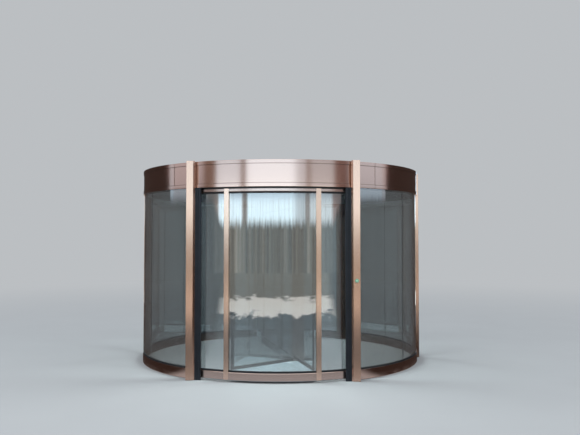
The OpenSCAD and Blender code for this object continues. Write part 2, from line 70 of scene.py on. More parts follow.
class Wire:
    """One output of a node tree. Arithmetic on it adds Math nodes to that tree."""

    def __init__(self, tree: "NodeTree", socket: bpy.types.NodeSocket) -> None:
        """Keeps the tree and the socket that the wire starts from."""
        self.tree = tree
        self.socket = socket

    def math(self, operation: str, first: Any, second: Any = 0.0) -> "Wire":
        """Returns the result of a new Math node, whose values may be numbers or wires."""
        return self.tree.node("ShaderNodeMath", {"operation": operation}, {0: first, 1: second})[0]

    def __add__(self, other: Any) -> "Wire":
        """Returns self + other."""
        return self.math("ADD", self, other)

    def __radd__(self, other: Any) -> "Wire":
        """Returns other + self."""
        return self.math("ADD", other, self)

    def __sub__(self, other: Any) -> "Wire":
        """Returns self - other."""
        return self.math("SUBTRACT", self, other)

    def __rsub__(self, other: Any) -> "Wire":
        """Returns other - self."""
        return self.math("SUBTRACT", other, self)

    def __mul__(self, other: Any) -> "Wire":
        """Returns self * other."""
        return self.math("MULTIPLY", self, other)

    def __rmul__(self, other: Any) -> "Wire":
        """Returns other * self."""
        return self.math("MULTIPLY", other, self)

    def __truediv__(self, other: Any) -> "Wire":
        """Returns self / other."""
        return self.math("DIVIDE", self, other)

    def __rtruediv__(self, other: Any) -> "Wire":
        """Returns other / self."""
        return self.math("DIVIDE", other, self)

    def root(self) -> "Wire":
        """Returns the square root."""
        return self.math("SQRT", self)

    def arctangent(self) -> "Wire":
        """Returns the angle, in radians, whose tangent this is."""
        return self.math("ARCTANGENT", self)

    def size(self) -> "Wire":
        """Returns the absolute value."""
        return self.math("ABSOLUTE", self)

    def between(self, low: float, high: float) -> "Wire":
        """Eases from 0 at low to 1 at high.

        Args:
            low: Value that gives 0.
            high: Value that gives 1. It may lie below low.

        Returns:
            The eased value.
        """
        rising = high > low
        inputs = {"Value": self, "From Min": min(low, high), "From Max": max(low, high)}
        inputs.update({"To Min": 0.0 if rising else 1.0, "To Max": 1.0 if rising else 0.0})
        return self.tree.node("ShaderNodeMapRange", {"interpolation_type": "SMOOTHSTEP"}, inputs)["Result"]


class NodeOutputs:
    """The outputs of one node, each handed out as a wire."""

    def __init__(self, tree: "NodeTree", made: bpy.types.Node) -> None:
        """Keeps the tree and the node."""
        self.tree = tree
        self.made = made

    def __getitem__(self, name: str | int) -> Wire:
        """Returns the output of that name or place as a wire."""
        return Wire(self.tree, self.made.outputs[name])


class NodeTree:
    """Writes nodes into one tree."""

    def __init__(self, tree: bpy.types.NodeTree) -> None:
        """Keeps the tree and empties it."""
        self.tree = tree
        self.tree.nodes.clear()

    def node(
        self, kind: str, settings: dict[str, Any] | None = None, inputs: dict[str | int, Any] | None = None
    ) -> NodeOutputs:
        """Adds one node.

        Args:
            kind: Blender's node type.
            settings: Attributes to set first. "stops" fills a colour ramp.
            inputs: Values or wires for the sockets, by name or place.

        Returns:
            The node's outputs.
        """
        made = self.tree.nodes.new(kind)
        for name, value in (settings or {}).items():
            if name == "stops":
                self._fill_ramp(made.color_ramp, value)
            else:
                setattr(made, name, value)
        for name, value in (inputs or {}).items():
            if isinstance(value, Wire):
                self.tree.links.new(value.socket, made.inputs[name])
            elif isinstance(value, tuple) and made.inputs[name].type == "RGBA":
                made.inputs[name].default_value = (*value[:3], 1.0)
            else:
                made.inputs[name].default_value = value
        return NodeOutputs(self, made)

    @staticmethod
    def _fill_ramp(ramp: bpy.types.ColorRamp, stops: Sequence[tuple[float, Colour]]) -> None:
        """Gives a colour ramp its stops.

        Args:
            ramp: The new ramp, which has two stops of its own.
            stops: Place and colour of each stop, in rising order.
        """
        for element, (place, colour) in ((ramp.elements[0], stops[0]), (ramp.elements[-1], stops[-1])):
            element.position = place
            element.color = (*colour, 1.0)
        for place, colour in stops[1:-1]:
            ramp.elements.new(place).color = (*colour, 1.0)


class ShaderTree(NodeTree):
    """Writes the nodes of one material or world."""

    def __init__(self, owner: bpy.types.Material | bpy.types.World) -> None:
        """Keeps the owner, turns on its nodes and takes its tree.

        Args:
            owner: The material or the world.
        """
        self.owner = owner
        owner.use_nodes = True
        super().__init__(owner.node_tree)

    def place(self) -> Wire:
        """Returns the point being shaded, in the frame's coordinates at rest."""
        return self.node("ShaderNodeTexCoord")["Object"]

    def axes(self, vector: Wire) -> tuple[Wire, Wire, Wire]:
        """Returns the X, Y and Z of a vector."""
        parts = self.node("ShaderNodeSeparateXYZ", None, {"Vector": vector})
        return parts["X"], parts["Y"], parts["Z"]

    def from_axis(self) -> Wire:
        """Returns how far the point being shaded lies from the axis of the drum."""
        x, y, _ = self.axes(self.place())
        return (x * x + y * y).root()

    def stretched(self, scale: Point) -> Wire:
        """Returns the point being shaded with its axes scaled."""
        settings = {"operation": "MULTIPLY"}
        return self.node("ShaderNodeVectorMath", settings, {0: self.place(), 1: scale})["Vector"]

    def scaled(self, colour: Any, factor: Any) -> Wire:
        """Returns a colour times a number."""
        inputs = {0: colour, "Scale": factor}
        return self.node("ShaderNodeVectorMath", {"operation": "SCALE"}, inputs)["Vector"]

    def noise(self, vector: Wire, scale: float = 1.0, detail: float = 2.0, rough: float = 0.5) -> Wire:
        """Returns noise from 0 to 1, with scale features per unit of the vector and detail octaves."""
        inputs = {"Vector": vector, "Scale": scale, "Detail": detail, "Roughness": rough}
        return self.node("ShaderNodeTexNoise", None, inputs)["Fac"]

    def mix(self, factor: Any, first: Any, second: Any, blend: str = "MIX") -> Wire:
        """Returns the first colour where the factor is 0, and its blend with the second where it is 1."""
        settings = {"data_type": "RGBA", "blend_type": blend}
        return self.node("ShaderNodeMix", settings, {0: factor, 6: first, 7: second})[2]

    def bump(self, height: Wire, depth: float, strength: float = 1.0) -> Wire:
        """Returns a normal from a height that runs from 0 to 1 over depth metres."""
        inputs = {"Strength": strength, "Distance": depth, "Height": height}
        return self.node("ShaderNodeBump", None, inputs)["Normal"]

    def principled(self, inputs: dict[str, Any]) -> Wire:
        """Returns a Principled shader with these inputs."""
        return self.node("ShaderNodeBsdfPrincipled", None, inputs)["BSDF"]

    def glow(self, light: Any) -> Wire:
        """Returns a shader that gives this light."""
        return self.node("ShaderNodeEmission", None, {"Color": light, "Strength": 1.0})["Emission"]

    def blend(self, factor: Wire, first: Wire, second: Wire) -> Wire:
        """Returns the first shader where the factor is 0 and the second where it is 1."""
        return self.node("ShaderNodeMixShader", None, {0: factor, 1: first, 2: second})["Shader"]

    def surface(self, shader: Wire) -> None:
        """Makes the shader the surface of the owner."""
        self.node("ShaderNodeOutputMaterial", None, {"Surface": shader})


@dataclass(frozen=True)
class Finish:
    """One finish, whose name is its slot's."""

    name: str

    def make(self) -> bpy.types.Material:
        """Makes the material and gives it the finish's shader.

        Returns:
            The material.
        """
        material = bpy.data.materials.new(self.name)
        tree = ShaderTree(material)
        tree.surface(self.shader(tree))
        return material

    def shader(self, tree: ShaderTree) -> Wire:
        """Writes the finish's nodes into the tree and returns their shader."""
        raise NotImplementedError


class Grain(Enum):
    """Which way a metal is brushed."""

    UPRIGHT = (1.0, 1.0, 0.012)
    LENGTHWISE = (0.012, 0.012, 1.0)


@dataclass(frozen=True)
class Bronze(Finish):
    """Bronze coloured metal, brushed and lacquered."""

    colour: Colour
    grain: Grain
    roughness: float = 0.3
    variation: float = 0.05
    streaks_per_m: float = 420.0
    hairlines_per_m: float = 2940.0
    hairline_mm: float = 0.006
    patches_per_m: float = 2.3
    unevenness: float = 0.03
    coat: float = 0.12
    coat_roughness: float = 0.06
    dust_height: float = 0.07
    dust_flecks_per_m: float = 14.0
    dust_share: float = 0.25
    dust_colour: Colour = (0.3, 0.27, 0.25)
    joint_heights: tuple[float, ...] = ()
    joint_w: float = 5.0 * MM
    joint_share: float = 0.55
    joint_tone: float = 0.25

    def shader(self, tree: ShaderTree) -> Wire:
        """Writes streaks along the grain, soft patches, painted shade at joints, and dust at the foot.

        Args:
            tree: The material's tree.

        Returns:
            The shader.
        """
        point = tree.place()
        height = tree.axes(point)[2]
        streak = tree.noise(tree.stretched(self.grain.value), self.streaks_per_m, 5.0, 0.6)
        hairline = tree.noise(tree.stretched(self.grain.value), self.hairlines_per_m, 2.0)
        patch = tree.noise(point, self.patches_per_m, 3.0)
        shade = 1.0 + (streak - 0.5) * self.variation + (patch - 0.5) * self.variation * 0.5
        toned = tree.scaled(self.colour, shade)
        # Painted shade: a dark band at each trim joint, standing in for the shade in the groove there.
        for joint in self.joint_heights:
            painted_groove_shade = (height - joint).size().between(self.joint_w, self.joint_w * 0.4) * self.joint_share
            toned = tree.mix(painted_groove_shade, toned, tuple(channel * self.joint_tone for channel in self.colour))
        flecks = tree.noise(point, self.dust_flecks_per_m, 4.0).between(0.3, 0.75)
        dust = height.between(self.dust_height, 0.0) * flecks * self.dust_share
        rough = self.roughness + (patch - 0.5) * self.unevenness + (streak - 0.5) * self.unevenness
        return tree.principled({
            "Base Color": tree.mix(dust, toned, self.dust_colour),
            "Metallic": 1.0 - dust * 0.8,
            "Roughness": rough + dust * 0.3,
            "Coat Weight": self.coat,
            "Coat Roughness": self.coat_roughness,
            "Normal": tree.bump(hairline, self.hairline_mm * MM, 0.5),
        })


@dataclass(frozen=True)
class Rubber(Finish):
    """Matt rubber or silicone, with a faint bloom and fine upright ribs."""

    colour: Colour
    bloom: Colour
    roughness: float = 0.5
    clouds_per_m: float = 9.0
    ribs_per_m: float = 260.0
    rib_mm: float = 0.15
    dust_height: float = 0.2
    dust_flecks_per_m: float = 22.0

    def shader(self, tree: ShaderTree) -> Wire:
        """Writes the bloom, the ribs and the dust near the floor.

        Args:
            tree: The material's tree.

        Returns:
            The shader.
        """
        point = tree.place()
        height = tree.axes(point)[2]
        cloud = tree.noise(point, self.clouds_per_m, 4.0)
        flecks = tree.noise(point, self.dust_flecks_per_m, 3.0).between(0.35, 0.8)
        dust = height.between(self.dust_height, 0.0) * flecks
        ribs = tree.noise(tree.stretched(Grain.UPRIGHT.value), self.ribs_per_m, 1.0)
        return tree.principled({
            "Base Color": tree.mix(cloud.between(0.35, 0.75) * 0.5 + dust * 0.5, self.colour, self.bloom),
            "Roughness": self.roughness + (cloud - 0.5) * 0.2 + dust * 0.2,
            "Specular IOR Level": 0.3,
            "Normal": tree.bump(ribs, self.rib_mm * MM, 0.5),
        })


@dataclass(frozen=True)
class Glass(Finish):
    """Tinted safety glass with a mirroring solar coating and the faint upright waves of bent panes."""

    tint: Colour
    ior: float = 1.5
    coating: float = 1.0
    coating_ior: float = 2.8
    shadow_tint: Colour = (0.9, 0.94, 0.94)
    waves_per_m: float = 5.0
    wave_mm: float = 0.25
    upright: Point = (1.0, 1.0, 0.06)

    def shader(self, tree: ShaderTree) -> Wire:
        """Writes the pane, and a clear side through which lamps reach what stands behind the glass.

        Args:
            tree: The material's tree.

        Returns:
            The shader.
        """
        waves = tree.noise(tree.stretched(self.upright), self.waves_per_m, 2.0, 0.45)
        pane = tree.principled({
            "Base Color": self.tint,
            "Roughness": 0.0,
            "IOR": self.ior,
            "Transmission Weight": 1.0,
            "Coat Weight": self.coating,
            "Coat Roughness": 0.0,
            "Coat IOR": self.coating_ior,
            "Normal": tree.bump(waves, self.wave_mm * MM),
        })
        clear = tree.node("ShaderNodeBsdfTransparent", None, {"Color": self.shadow_tint})["BSDF"]
        return tree.blend(tree.node("ShaderNodeLightPath")["Is Shadow Ray"], pane, clear)


@dataclass(frozen=True)
class Paint(Finish):
    """Painted sheet or panel: faint orange peel, soft patches, and settled dust."""

    colour: Colour
    worn: Colour
    roughness: float = 0.4
    metallic: float = 0.0
    coat: float = 0.0
    patches_per_m: float = 3.1
    specks_per_m: float = 130.0
    peel_per_m: float = 420.0
    peel_mm: float = 0.06
    shade_rim_radius: float = 100.0
    shade_rim_soft: float = 4.0 * MM
    # Painted shade: the colour of the dark rim at the panel's edge.
    shade_rim: Colour = (0.02, 0.017, 0.016)

    def shader(self, tree: ShaderTree) -> Wire:
        """Writes the panel, its specks and a dark rim of painted shade that begins at a given radius.

        Args:
            tree: The material's tree.

        Returns:
            The shader.
        """
        point = tree.place()
        patch = tree.noise(point, self.patches_per_m, 5.0, 0.6)
        specks = tree.noise(point, self.specks_per_m, 2.0).between(0.62, 0.78)
        on_shade_rim = tree.from_axis().between(self.shade_rim_radius, self.shade_rim_radius + self.shade_rim_soft)
        panel = tree.mix(patch.between(0.3, 0.8) * 0.6 + specks * 0.25, self.colour, self.worn)
        return tree.principled({
            "Base Color": tree.mix(on_shade_rim, panel, self.shade_rim),
            "Roughness": self.roughness + (patch - 0.5) * 0.2 + specks * 0.1,
            "Metallic": self.metallic,
            "Coat Weight": self.coat,
            "Normal": tree.bump(tree.noise(point, self.peel_per_m, 2.0), self.peel_mm * MM, 0.5),
        })


@dataclass(frozen=True)
class ButtonPlastic(Finish):
    """Moulded green plastic: a darker ring round a pale press plate."""

    axis: Span
    plate_radius: float
    ring: Colour = (0.10, 0.33, 0.20)
    plate: Colour = (0.36, 0.62, 0.45)
    rubbed: Colour = (0.62, 0.7, 0.64)
    rubs_per_m: float = 160.0
    texture_per_m: float = 900.0
    texture_mm: float = 0.05

    def shader(self, tree: ShaderTree) -> Wire:
        """Writes the plastic, split where the plate rises out of the ring.

        Args:
            tree: The material's tree.

        Returns:
            The shader.
        """
        point = tree.place()
        x, _, z = tree.axes(point)
        across = x - self.axis[0]
        up = z - self.axis[1]
        distance = (across * across + up * up).root()
        on_plate = distance.between(self.plate_radius + MM, self.plate_radius - MM)
        rubbed = tree.noise(point, self.rubs_per_m, 3.0).between(0.4, 0.8)
        return tree.principled({
            "Base Color": tree.mix(rubbed * 0.2, tree.mix(on_plate, self.ring, self.plate), self.rubbed),
            "Roughness": 0.28 + rubbed * 0.25,
            "Normal": tree.bump(tree.noise(point, self.texture_per_m), self.texture_mm * MM, 0.4),
        })


class ShellCleaner(NodeTree):
    """Modifiers that join a frame node's loose corners and shade its curved faces evenly."""

    MERGE = 0.02 * MM
    FLAT_DEG = 0.5
    SHARP_DEG = 30.0
    BEVEL_SEGMENTS = 2
    LARGE_FACE_WEIGHT = 60

    def __init__(self) -> None:
        """Builds the shared nodes, which merge points, drop stored normals and shade smooth to an angle."""
        group = bpy.data.node_groups.new("clean_shell", "GeometryNodeTree")
        super().__init__(group)
        for way in ("INPUT", "OUTPUT"):
            group.interface.new_socket("Geometry", in_out=way, socket_type="NodeSocketGeometry")
        inputs = {"Geometry": self.node("NodeGroupInput")[0], "Distance": self.MERGE}
        merged = self.node("GeometryNodeMergeByDistance", None, inputs)[0]
        inputs = {"Geometry": merged, "Name": "custom_normal"}
        bare = self.node("GeometryNodeRemoveAttribute", None, inputs)[0]
        smooth = self.node("GeometryNodeSetShadeSmooth", {"domain": "FACE"}, {"Geometry": bare})[0]
        bend = self.node("GeometryNodeInputMeshEdgeAngle")["Unsigned Angle"]
        crisp = bend.math("GREATER_THAN", bend, math.radians(self.SHARP_DEG))
        inputs = {"Geometry": smooth, "Selection": crisp, "Shade Smooth": False}
        shaded = self.node("GeometryNodeSetShadeSmooth", {"domain": "EDGE"}, inputs)[0]
        self.node("NodeGroupOutput", None, {0: shaded})

    def clean(self, piece: bpy.types.Object) -> None:
        """Joins the corners of a piece and dissolves the seams inside its flat faces.

        Args:
            piece: A frame node's object.
        """
        piece.modifiers.new("clean_shell", "NODES").node_group = self.tree
        flat = piece.modifiers.new("flat_faces", "DECIMATE")
        flat.decimate_type = "DISSOLVE"
        flat.angle_limit = math.radians(self.FLAT_DEG)

    def soften(self, piece: bpy.types.Object, width_mm: float) -> None:
        """Cleans a metal piece and rounds its sharp edges.

        Args:
            piece: A frame node's object.
            width_mm: How wide the rounding is.
        """
        self.clean(piece)
        bevel = piece.modifiers.new("rounded_edges", "BEVEL")
        bevel.width = width_mm * MM
        bevel.segments = self.BEVEL_SEGMENTS
        bevel.limit_method = "ANGLE"
        bevel.angle_limit = math.radians(self.SHARP_DEG)
        bevel.use_clamp_overlap = True
        even = piece.modifiers.new("even_normals", "WEIGHTED_NORMAL")
        even.mode = "FACE_AREA"
        even.weight = self.LARGE_FACE_WEIGHT


@dataclass
class Finishes:
    """All the finishes of the door, by the record's slot names."""

    trim_h: float = 44.0 * MM
    ceiling_shade_rim_w: float = 12.0 * MM
    plate_radius: float = 12.5 * MM
    made: dict[str, bpy.types.Material] = field(default_factory=dict)
    cleaner: ShellCleaner = field(default_factory=ShellCleaner)

    def build(self) -> None:
        """Makes every material once."""
        low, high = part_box("push_button")
        centre = (low + high) / 2
        fascia_low, fascia_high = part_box("fascia_front")
        joints = (fascia_low.z + self.trim_h, fascia_high.z - self.trim_h)
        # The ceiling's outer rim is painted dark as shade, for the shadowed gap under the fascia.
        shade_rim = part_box("rotor_ceiling")[1].y - self.ceiling_shade_rim_w
        finishes = (
            Bronze("bronze_frame", (0.60, 0.39, 0.295), Grain.UPRIGHT, 0.2),
            Bronze("bronze_fascia", (0.62, 0.44, 0.37), Grain.LENGTHWISE, 0.14, joint_heights=joints),
            Bronze("bronze_rotor", (0.56, 0.43, 0.38), Grain.LENGTHWISE, 0.22),
            # Painted highlight: the arc stiles' bronze is a paler copy of the same metal, as if brightly lit.
            Bronze("bronze_upright_painted_highlight", (0.77, 0.56, 0.45), Grain.UPRIGHT, 0.2),
            # Painted shade: the wing's bronze is a darker copy of the same metal, for the dim inside of the
            # drum.
            Bronze("bronze_wing_painted_shade", (0.36, 0.27, 0.235), Grain.UPRIGHT, 0.24),
            Rubber("safety_rubber", (0.008, 0.010, 0.014), (0.016, 0.019, 0.026), 0.42),
            Rubber("seal_rubber", (0.014, 0.015, 0.017), (0.035, 0.036, 0.038), 0.6),
            Rubber("brush_fibre", (0.01, 0.01, 0.011), (0.05, 0.048, 0.046), 0.7),
            Glass("drum_glass", (0.5, 0.545, 0.55)),
            Glass("rotor_glass", (0.56, 0.635, 0.655)),
            Paint("ceiling_panel", (0.66, 0.68, 0.7), (0.55, 0.57, 0.58), 0.35, shade_rim_radius=shade_rim),
            Paint("showcase_panel", (0.74, 0.88, 0.94), (0.66, 0.81, 0.87), 0.25, coat=0.3),
            Paint("roof_sheet", (0.16, 0.095, 0.07), (0.19, 0.13, 0.105), 0.5),
            Paint("beam_steel", (0.4, 0.41, 0.42), (0.33, 0.32, 0.3), 0.4, metallic=0.9),
            ButtonPlastic("button_green", (centre.x, centre.z), self.plate_radius),
        )
        for finish in finishes:
            self.made[finish.name] = finish.make()
            LOG.info("finish %s", finish.name)

    def coat(self, node: str, finish: str) -> bpy.types.Object:
        """Gives a frame node its finish.

        Args:
            node: The node's name.
            finish: The finish's name.

        Returns:
            The node's object.
        """
        piece = frame["nodes"][node]
        piece.data.materials.clear()
        piece.data.materials.append(self.made[finish])
        LOG.info("node %s: %s", node, finish)
        return piece

    def glaze(self, node: str, finish: str) -> None:
        """Gives a frame node its finish and shades its curves evenly."""
        self.cleaner.clean(self.coat(node, finish))

    def soften(self, node: str, finish: str, width_mm: float) -> None:
        """Gives a frame node its finish and rounds its edges by width_mm."""
        self.cleaner.soften(self.coat(node, finish), width_mm)


@dataclass
class MeshDraft:
    """Points and faces of one piece while it is being made."""

    points: list[Vector] = field(default_factory=list)
    faces: list[Face] = field(default_factory=list)

    def add(self, points: Iterable[Vector], faces: Iterable[Sequence[int]]) -> None:
        """Adds points and the faces between them.

        Args:
            points: The new points.
            faces: The new faces, counted from the first new point.
        """
        start = len(self.points)
        self.points.extend(points)
        self.faces.extend(tuple(start + index for index in face) for face in faces)

    def add_loops(self, loops: Sequence[Sequence[Vector]], closed: bool) -> None:
        """Skins a row of loops that have the same number of points.

        Args:
            loops: The loops in order.
            closed: True joins the last loop to the first, False caps both ends.
        """
        count = len(loops[0])
        faces = []
        for row in range(len(loops) if closed else len(loops) - 1):
            here = row * count
            there = (row + 1) % len(loops) * count
            for k in range(count):
                after = (k + 1) % count
                faces.append((here + k, here + after, there + after, there + k))
        if not closed:
            faces.append(tuple(reversed(range(count))))
            faces.append(tuple(range((len(loops) - 1) * count, len(loops) * count)))
        self.add([point for loop in loops for point in loop], faces)

    def make(self, name: str, material: bpy.types.Material, smooth_deg: float = 35.0) -> bpy.types.Object:
        """Turns the draft into an object.

        Args:
            name: The piece's name.
            material: Its finish.
            smooth_deg: Edges flatter than this are shaded smooth.

        Returns:
            The new object.
        """
        mesh = bpy.data.meshes.new(name)
        mesh.from_pydata(self.points, [], self.faces)
        mesh.validate()
        mesh.update()
        mesh.materials.append(material)
        piece = bpy.data.objects.new(name, mesh)
        bpy.context.scene.collection.objects.link(piece)
        mesh.shade_smooth()
        mesh.set_sharp_from_angle(angle=math.radians(smooth_deg))
        LOG.info("piece %s: %d faces", name, len(self.faces))
        return piece


def ring_point(radius: float, angle: float, height: float) -> Vector:
    """Returns the point at a bearing from the front of the drum, turning towards the right."""
    return Vector((radius * math.sin(angle), -radius * math.cos(angle), height))


def hide_from(piece: bpy.types.Object, *rays: str) -> None:
    """Hides an object from kinds of ray, such as camera or shadow."""
    for ray in rays:
        setattr(piece, f"visible_{ray}", False)


@dataclass
class Drum:
    """The fixed part: posts, plinths, glass, fascia and roof."""

    finishes: Finishes
    edge_mm: float = 1.2

    def dress(self) -> None:
        """Gives every node of the drum its finish."""
        sides = [f"{depth}_{side}" for depth in ("front", "rear") for side in ("left", "right")]
        for side in sides:
            self.finishes.soften(f"post_{side}", "bronze_frame", self.edge_mm)
            self.finishes.soften(f"plinth_{side}", "bronze_fascia", self.edge_mm)
            self.finishes.soften(f"fascia_{side}", "bronze_fascia", self.edge_mm)
            self.finishes.glaze(f"glass_{side}", "drum_glass")
        for depth in ("front", "rear"):
            self.finishes.soften(f"fascia_{depth}", "bronze_fascia", self.edge_mm)
            self.finishes.glaze(f"safety_edges_{depth}", "safety_rubber")
        for side in ("left", "right"):
            self.finishes.soften(f"wall_post_{side}", "bronze_frame", self.edge_mm)
        self.finishes.glaze("glazing_seals", "seal_rubber")
        self.finishes.glaze("roof_cover", "roof_sheet")
        self.finishes.glaze("bridge_beam", "beam_steel")
        self.finishes.glaze("bearing_housing", "beam_steel")
        self.finishes.glaze("push_button", "button_green")


@dataclass
class RoofJoints:
    """Low beads of sealant over the joints of the roof sheet."""

    finishes: Finishes
    joints: int = 8
    steps_per_joint: int = 6
    inner: float = 0.2
    margin: float = 70.0 * MM
    bead_w: float = 18.0 * MM
    crown_share: float = 0.7
    rise: float = 0.5 * MM

    def build(self) -> None:
        """Builds the beads and the round one that they run out from."""
        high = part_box("roof_cover")[1]
        draft = MeshDraft()
        for k in range(self.joints):
            angle = 2 * math.pi * (k + 0.5) / self.joints
            self._bead(draft, angle, high.y - self.margin, high.z)
        steps = self.steps_per_joint * self.joints
        outline = self._outline()
        loops = []
        for k in range(steps):
            angle = 2 * math.pi * k / steps
            loops.append([ring_point(self.inner + across, angle, high.z + up) for across, up in outline])
        draft.add_loops(loops, closed=True)
        piece = draft.make("roof_joint_beads", self.finishes.made["seal_rubber"])
        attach(piece, "drum")

    def _outline(self) -> list[Span]:
        """Returns the bead's cross-section, as places across it and heights over the sheet."""
        half, crown = self.bead_w / 2, self.bead_w / 2 * self.crown_share
        return [(-half, 0.0), (-crown, self.rise), (crown, self.rise), (half, 0.0)]

    def _bead(self, draft: MeshDraft, angle: float, outer: float, top: float) -> None:
        """Adds one straight bead that runs outwards.

        Args:
            draft: Where it is added.
            angle: Its bearing.
            outer: Radius at which it ends.
            top: Height of the sheet.
        """
        aside = Vector((math.cos(angle), math.sin(angle), 0.0))
        loops = []
        for radius in (self.inner, outer):
            middle = ring_point(radius, angle, top)
            loops.append([middle + aside * across + UP * up for across, up in self._outline()])
        draft.add_loops(loops, closed=False)


@dataclass
class ShowcaseShoes:
    """Dark glazing shoes along the feet of the showcase walls, on the side of the raised floor."""

    finishes: Finishes
    inset: float = 26.3 * MM
    thick: float = 8.0 * MM
    rise: float = 36.0 * MM
    chamfer: float = 3.0 * MM
    lift: float = 0.1 * MM
    apex_reach: float = 1.3
    outer_clear: float = 25.0 * MM
    apex_clear: float = 20.0 * MM

    def build(self) -> None:
        """Builds the four shoes on the edges that the showcase floors have in the frame."""
        floors = frame["nodes"]["showcase_floors"].data
        corners = [vertex.co for vertex in floors.vertices if vertex.co.y < 0.0]
        top = max(corner.z for corner in corners) + self.lift
        near = [corner for corner in corners if corner.xy.length < self.apex_reach]
        draft = MeshDraft()
        for side, pick in ((1, min), (-1, max)):
            outer = pick(corners, key=lambda corner: corner.x).xy
            apex = pick(near, key=lambda corner: corner.x).xy
            for turn in (1, -1):
                self._shoe(draft, outer * turn, apex * turn, side, top)
        piece = draft.make("showcase_shoes", self.finishes.made["seal_rubber"])
        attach(piece, "rotor")

    def _shoe(self, draft: MeshDraft, outer: Vector, apex: Vector, side: int, top: float) -> None:
        """Adds one shoe.

        Args:
            draft: Where it is added.
            outer: The edge's end at the arc, seen from above.
            apex: The edge's end at the apex post.
            side: 1 where the showcase lies to the right of the way from outer to apex, otherwise -1.
            top: Height of the shoe's foot, just over the raised floor.
        """
        along = (apex - outer).normalized()
        inward = Vector((along.y, -along.x)) * side
        near, far = self.inset, self.inset + self.thick
        outline = [
            (near, 0.0), (far, 0.0), (far, self.rise - self.chamfer),
            (far - self.chamfer, self.rise), (near, self.rise),
        ]
        loops = []
        for end in (outer + along * self.outer_clear, apex - along * self.apex_clear):
            loops.append([(end + inward * across).to_3d() + UP * (top + up) for across, up in outline])
        draft.add_loops(loops, closed=False)


@dataclass(frozen=True)
class ArcStrip:
    """Where the frame has one plain brush strip, and the bearing of its middle."""

    inner: float
    outer: float
    foot: float
    top: float
    half_angle: float
    turn: float


@dataclass
class Brushes:
    """Brush strips under the two arcs: a carrier and the bristles that hang from it."""

    finishes: Finishes
    width: float = 16.0 * MM
    carrier_h: float = 9.0 * MM
    chamfer: float = 2.0 * MM
    spacing: float = 3.0 * MM
    rows: int = 3
    bristle_r: float = 0.7 * MM
    lean: float = 2.0 * MM
    step_deg: float = 1.5
    seed: int = 7

    def build(self) -> None:
        """Builds the carriers and the bristles where the frame has its plain strips."""
        low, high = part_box("brush_strips")
        half_angle = math.asin(min(1.0, high.x / high.y))
        carriers = MeshDraft()
        bristles = MeshDraft()
        chance = random.Random(self.seed)
        for turn in (0.0, math.pi):
            strip = ArcStrip(high.y - self.width, high.y, low.z, high.z, half_angle, turn)
            self._carrier(carriers, strip)
            self._bristles(bristles, strip, chance)
        carrier = carriers.make("brush_carriers", self.finishes.made["beam_steel"])
        fringe = bristles.make("brush_bristles", self.finishes.made["brush_fibre"])
        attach(carrier, "rotor")
        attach(fringe, "rotor")
        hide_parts("brush_strips")

    def _carrier(self, draft: MeshDraft, strip: ArcStrip) -> None:
        """Adds one curved carrier.

        Args:
            draft: Where it is added.
            strip: The plain strip whose upper part it takes up.
        """
        inner, outer = strip.inner, strip.outer
        steps = max(2, math.ceil(math.degrees(2 * strip.half_angle) / self.step_deg))
        foot = strip.top - self.carrier_h
        outline = [
            (inner, strip.top), (inner, foot + self.chamfer), (inner + self.chamfer, foot),
            (outer - self.chamfer, foot), (outer, foot + self.chamfer), (outer, strip.top),
        ]
        loops = []
        for step in range(steps + 1):
            angle = strip.turn - strip.half_angle + 2 * strip.half_angle * step / steps
            loops.append([ring_point(radius, angle, height) for radius, height in outline])
        draft.add_loops(loops, closed=False)

    def _bristles(self, draft: MeshDraft, strip: ArcStrip, chance: random.Random) -> None:
        """Adds the rows of bristles under one carrier.

        Args:
            draft: Where they are added.
            strip: The plain strip whose lower part they take up.
            chance: Draws each bristle's lean.
        """
        root = strip.top - self.carrier_h
        count = int(2 * strip.half_angle * strip.outer / self.spacing)
        for row in range(self.rows):
            radius = strip.inner + (strip.outer - strip.inner) * (row + 1) / (self.rows + 1)
            for k in range(count):
                angle = strip.turn - strip.half_angle + 2 * strip.half_angle * (k + 0.5) / count
                base = ring_point(radius, angle, root)
                outwards = chance.uniform(-self.lean, self.lean)
                sideways = chance.uniform(-1, 1) * self.lean / radius
                tip = ring_point(radius + outwards, angle + sideways, strip.foot)
                self._spike(draft, base, tip)

    def _spike(self, draft: MeshDraft, base: Vector, tip: Vector) -> None:
        """Adds one bristle, a slim three-sided spike.

        Args:
            draft: Where it is added.
            base: Middle of its root.
            tip: Its lower end.
        """
        corners = [
            base + Vector((math.cos(turn), math.sin(turn), 0.0)) * self.bristle_r
            for turn in (0.0, 2 * math.pi / 3, 4 * math.pi / 3)
        ]
        draft.add([*corners, tip], [(0, 1, 3), (1, 2, 3), (2, 0, 3), (2, 1, 0)])


@dataclass
class Rotor:
    """The turning part: two curved arcs, two showcases, the wing across the middle and the ceiling."""

    finishes: Finishes
    edge_mm: float = 1.0

    def dress(self) -> None:
        """Gives every node of the rotor its finish."""
        for node in ("arc_foot_rails", "arc_head_rails"):
            self.finishes.soften(node, "bronze_rotor", self.edge_mm)
        # The wing portal takes the darker bronze, whose colour is painted shade.
        self.finishes.soften("wing_portal", "bronze_wing_painted_shade", self.edge_mm)
        for depth in ("front", "rear"):
            # The arc stiles take the paler bronze, whose colour is painted highlight.
            self.finishes.soften(f"arc_stiles_{depth}", "bronze_upright_painted_highlight", self.edge_mm)
            self.finishes.glaze(f"arc_glass_{depth}", "rotor_glass")
            self.finishes.glaze(f"showcase_glass_{depth}", "rotor_glass")
        for node in ("arc_seals", "showcase_seals"):
            self.finishes.glaze(node, "seal_rubber")
        self.finishes.glaze("showcase_floors", "showcase_panel")
        self.finishes.glaze("rotor_ceiling", "ceiling_panel")
        self.finishes.coat("brush_strips", "brush_fibre")


class LeafPlace(Enum):
    """The two sliding leaves of the wing."""

    FRONT = "leaf_front"
    REAR = "leaf_rear"


